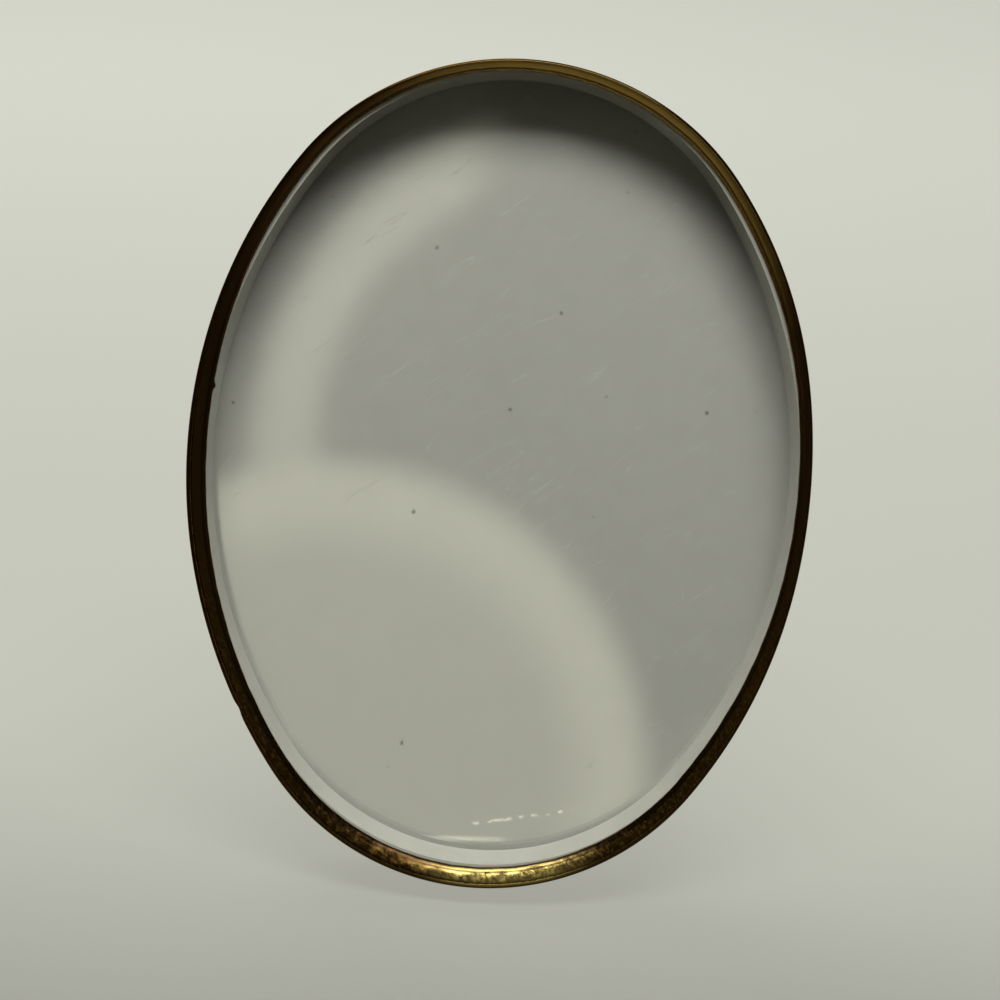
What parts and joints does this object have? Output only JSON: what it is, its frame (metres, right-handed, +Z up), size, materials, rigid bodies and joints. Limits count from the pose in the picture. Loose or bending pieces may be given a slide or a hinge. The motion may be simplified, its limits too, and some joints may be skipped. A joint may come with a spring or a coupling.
{
  "type": "oval picture frame",
  "caption": "Small oval picture frame: narrow aged brass rim, white sight liner, glass and bare card, with a button-held back, hanging ring and folding easel strut.",
  "frame": {"origin": "middle of the footprint, on the surface that the frame stands on", "axes": "+Z up, -Y towards the viewer, +X to the viewer's right"},
  "size_m": [0.0792, 0.0462, 0.1028],
  "materials": {
    "aged_brass": "aged, burnished by hand",
    "brass_fittings": "dull lacquered",
    "white_enamel": "glossy",
    "clear_glass": "clear, lightly scratched",
    "white_card": "matte",
    "grey_board": "matte",
    "velvet": "short pile",
    "ribbon": "ribbed weave"
  },
  "bodies": {
    "frame": {"back_cover": "grey_board", "back_velvet": "velvet", "backing_board": "grey_board", "button_lugs": "brass_fittings", "button_screws": "brass_fittings", "display_card": "white_card", "glass_pane": "clear_glass", "hanger_rivets": "brass_fittings", "hanger_strap": "brass_fittings", "hinge_back_leaf": "brass_fittings", "hinge_back_rivets": "brass_fittings", "hinge_pin": "brass_fittings", "rim_bead": "aged_brass", "side_band": "aged_brass", "sight_liner": "white_enamel", "stay_ribbon": "ribbon"},
    "strut": {"strut_board": "grey_board", "strut_velvet": "velvet", "hinge_strut_leaf": "brass_fittings", "hinge_strut_rivets": "brass_fittings"},
    "ring": {"hanger_ring": "brass_fittings"},
    "turn_button_upper_left": {"turn_button_upper_left": "brass_fittings"},
    "turn_button_upper_right": {"turn_button_upper_right": "brass_fittings"},
    "turn_button_lower_left": {"turn_button_lower_left": "brass_fittings"},
    "turn_button_lower_right": {"turn_button_lower_right": "brass_fittings"}
  },
  "joints": [
    {"name": "strut_fold", "type": "hinge", "parent": "frame", "child": "strut", "pos_m": [0, 0.0115, 0.06608], "axis": [1, 0, 0], "range_deg": [-27, 0], "deforming": ["stay_ribbon"]},
    {"name": "ring_swing", "type": "hinge", "parent": "frame", "child": "ring", "pos_m": [0, 0.01737, 0.0852], "axis": [1, 0, 0], "range_deg": [-17, 150]},
    {"name": "button_turn_upper_left", "type": "hinge", "parent": "frame", "child": "turn_button_upper_left", "pos_m": [-0.03059, 0.01346, 0.07406], "axis": [0, -0.9511, 0.309], "continuous": true},
    {"name": "button_turn_upper_right", "type": "hinge", "parent": "frame", "child": "turn_button_upper_right", "pos_m": [0.03059, 0.01346, 0.07406], "axis": [0, -0.9511, 0.309], "continuous": true},
    {"name": "button_turn_lower_left", "type": "hinge", "parent": "frame", "child": "turn_button_lower_left", "pos_m": [-0.03059, -0.00273, 0.02423], "axis": [0, -0.9511, 0.309], "continuous": true},
    {"name": "button_turn_lower_right", "type": "hinge", "parent": "frame", "child": "turn_button_lower_right", "pos_m": [0.03059, -0.00273, 0.02423], "axis": [0, -0.9511, 0.309], "continuous": true}
  ]
}
